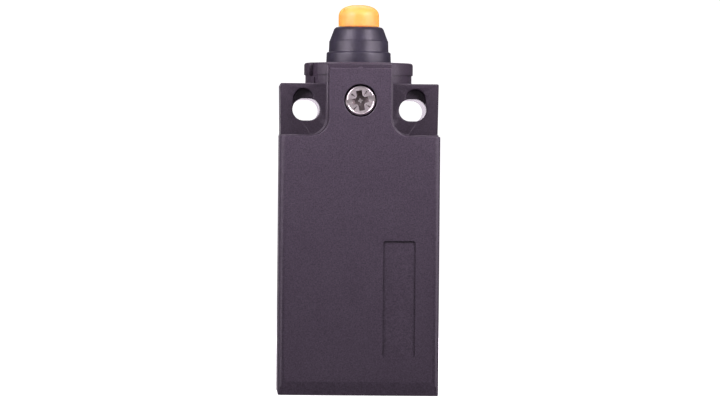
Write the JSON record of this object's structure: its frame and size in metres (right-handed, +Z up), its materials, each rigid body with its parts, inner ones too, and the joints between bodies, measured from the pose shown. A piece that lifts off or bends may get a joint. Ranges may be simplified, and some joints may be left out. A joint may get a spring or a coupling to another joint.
{
  "type": "plunger limit switch",
  "caption": "Narrow plastic position switch with a domed plunger in a rubber boot, slotted mounting ears, a screwed front cover and a threaded cable entry.",
  "frame": {"origin": "midway between the two mounting slots, on the mounting face", "axes": "+Z up along the plunger, +Y out of the back through the mounting face, +X to the right seen from the front"},
  "size_m": [0.031, 0.0335, 0.0761],
  "materials": {
    "housing_plastic": "fine matte grain",
    "plunger_plastic": "satin",
    "boot_rubber": "satin rubber",
    "seal_rubber": "matte rubber",
    "bearing_plastic": "smooth",
    "block_plastic": "smooth",
    "clear_plastic": "clear",
    "carrier_plastic": "smooth",
    "brass": "stamped",
    "contact_copper": "stamped copper alloy",
    "contact_silver": "silver alloy",
    "plated_steel": "bright nickel plate",
    "spring_steel": "drawn wire"
  },
  "bodies": {
    "housing": {"base_housing": "housing_plastic", "guide_bush": "bearing_plastic", "plunger_boot": "boot_rubber", "screw_insert": "brass", "contact_block": "block_plastic", "block_window": "clear_plastic", "block_screws": "plated_steel", "terminal_nc_left": "brass", "terminal_nc_right": "brass", "terminal_no_left": "brass", "terminal_no_right": "brass", "fixed_contact_tips": "contact_silver", "terminal_screws": "plated_steel", "wire_clamps": "plated_steel", "return_spring": "spring_steel"},
    "plunger": {"plunger": "plunger_plastic", "contact_carrier": "carrier_plastic", "nc_contact_spring": "spring_steel", "no_contact_spring": "spring_steel"},
    "nc_bridge": {"nc_bridge": "contact_copper", "nc_bridge_tips": "contact_silver"},
    "no_bridge": {"no_bridge": "contact_copper", "no_bridge_tips": "contact_silver"},
    "cover": {"front_cover": "housing_plastic", "cover_seal": "seal_rubber", "screw_retainer": "plated_steel"},
    "cover_screw": {"cover_screw": "plated_steel"}
  },
  "joints": [
    {"name": "plunger_slide", "type": "slide", "parent": "housing", "child": "plunger", "axis": [0, 0, -1], "range_m": [0, 0.006], "stiffness_N_per_m": 900, "springref_m": -0.006, "deforming": ["plunger_boot", "return_spring"]},
    {"name": "nc_bridge_slide", "type": "slide", "parent": "plunger", "child": "nc_bridge", "axis": [0, 0, 1], "range_m": [0, 0.003], "deforming": ["nc_contact_spring"]},
    {"name": "no_bridge_slide", "type": "slide", "parent": "plunger", "child": "no_bridge", "axis": [0, 0, 1], "range_m": [0, 0.003], "deforming": ["no_contact_spring"]},
    {"name": "cover_pull", "type": "slide", "parent": "housing", "child": "cover", "axis": [0, -1, 0], "range_m": [0, 0.045]},
    {"name": "cover_screw_turn", "type": "hinge", "parent": "cover", "child": "cover_screw", "pos_m": [0, -0.03, 0.00165], "axis": [0, 1, 0], "continuous": true}
  ],
  "couplings": [
    {"joint": "nc_bridge_slide", "follows": "plunger_slide", "ratio": 0.5},
    {"joint": "no_bridge_slide", "follows": "plunger_slide", "ratio": 0.5}
  ]
}
